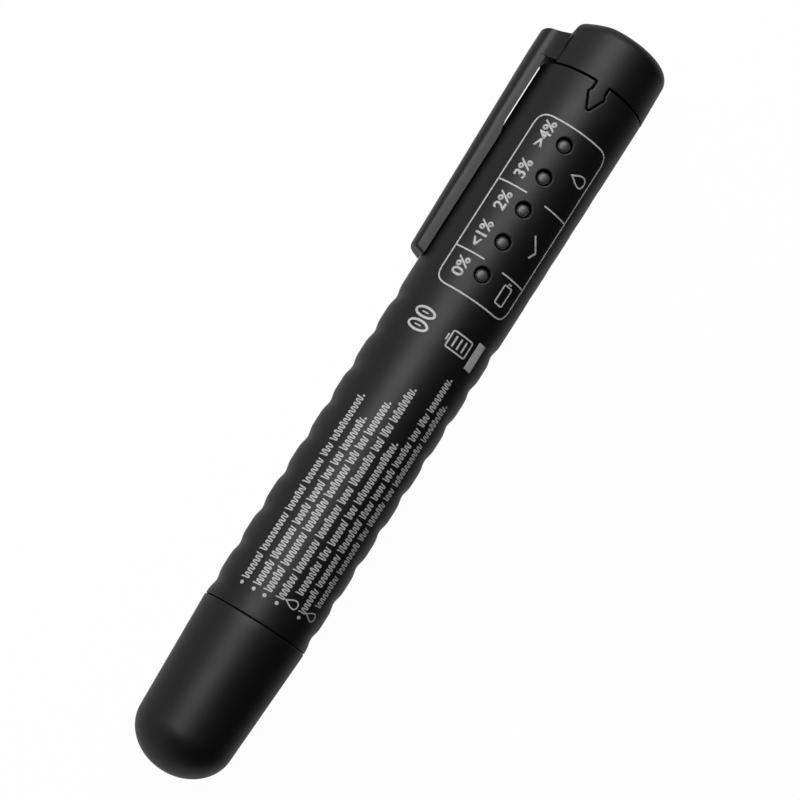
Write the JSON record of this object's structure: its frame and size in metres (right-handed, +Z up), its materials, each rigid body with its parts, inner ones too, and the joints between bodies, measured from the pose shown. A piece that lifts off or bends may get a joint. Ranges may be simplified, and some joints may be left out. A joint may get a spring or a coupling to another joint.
{
  "type": "brake fluid test pen",
  "caption": "Pen-shaped brake fluid tester with a domed probe cap, a row of indicator lamps, a wavy finger grip, a press-top and a pocket clip.",
  "frame": {"origin": "middle of the underside's bounding box, on the table that the pen lies on", "axes": "+X along the pen towards its probes and protective cap, -X to the press-top; +Z up; the lamps face -Y and up, and the clip rests on the table at -Y"},
  "size_m": [0.1586, 0.0238, 0.0217],
  "materials": {
    "black_shell": "satin black moulding with white print",
    "black_clip": "satin black moulding",
    "black_inner": "matt black moulding",
    "smoked_lens": "grey translucent lens, unlit",
    "nickel": "bright nickel plate",
    "spring_steel": "drawn spring steel",
    "board_green": "solder-resist green",
    "chip_black": "matt moulded package",
    "cell_sleeve": "plain blue sleeve",
    "red_wire": "red insulation",
    "blue_wire": "blue insulation",
    "ceramic_tan": "unglazed tan block"
  },
  "bodies": {
    "pen_body": {"barrel": "black_shell", "nose_holder": "black_inner", "probe_pin_1": "nickel", "probe_pin_2": "nickel", "probe_wire_1": "red_wire", "probe_wire_2": "blue_wire", "circuit_board": "board_green", "controller_chip": "chip_black", "supply_capacitor": "ceramic_tan", "lamp_resistor_1": "chip_black", "lamp_resistor_2": "chip_black", "lamp_resistor_3": "chip_black", "lamp_resistor_4": "chip_black", "lamp_resistor_5": "chip_black", "led_green": "smoked_lens", "led_yellow_1": "smoked_lens", "led_yellow_2": "smoked_lens", "led_red_1": "smoked_lens", "led_red_2": "smoked_lens", "led_spacer": "black_inner", "switch_body": "chip_black", "battery_cell": "cell_sleeve", "battery_cradle": "black_inner", "negative_contact": "spring_steel", "negative_spring": "spring_steel", "board_screw_1": "nickel", "board_screw_2": "nickel"},
    "cap_body": {"protective_cap": "black_shell"},
    "insert_body": {"cap_insert": "black_inner", "positive_contact": "spring_steel", "return_spring": "spring_steel"},
    "press_body": {"end_cap": "black_shell"},
    "clip_body": {"pocket_clip": "black_clip"},
    "plunger_body": {"switch_plunger": "nickel"}
  },
  "joints": [
    {"name": "protective_cap_pull", "type": "slide", "parent": "pen_body", "child": "cap_body", "axis": [1, 0, 0], "range_m": [0, 0.045]},
    {"name": "insert_pull", "type": "slide", "parent": "pen_body", "child": "insert_body", "axis": [-1, 0, 0], "range_m": [0, 0.03]},
    {"name": "end_cap_press", "type": "slide", "parent": "insert_body", "child": "press_body", "axis": [1, 0, 0], "range_m": [0, 0.0003], "stiffness_N_per_m": 2000, "springref_m": -0.0005, "deforming": ["return_spring"]},
    {"name": "clip_flex", "type": "hinge", "parent": "press_body", "child": "clip_body", "pos_m": [-0.07145, -0.0077, 0.0044], "axis": [0, 0.5952, -0.8036], "range_deg": [0, 3], "stiffness_Nm_per_rad": 4.3},
    {"name": "switch_press", "type": "slide", "parent": "pen_body", "child": "plunger_body", "axis": [1, 0, 0], "range_m": [0, 0.0003]}
  ],
  "couplings": [
    {"joint": "switch_press", "follows": "end_cap_press", "ratio": 1}
  ]
}
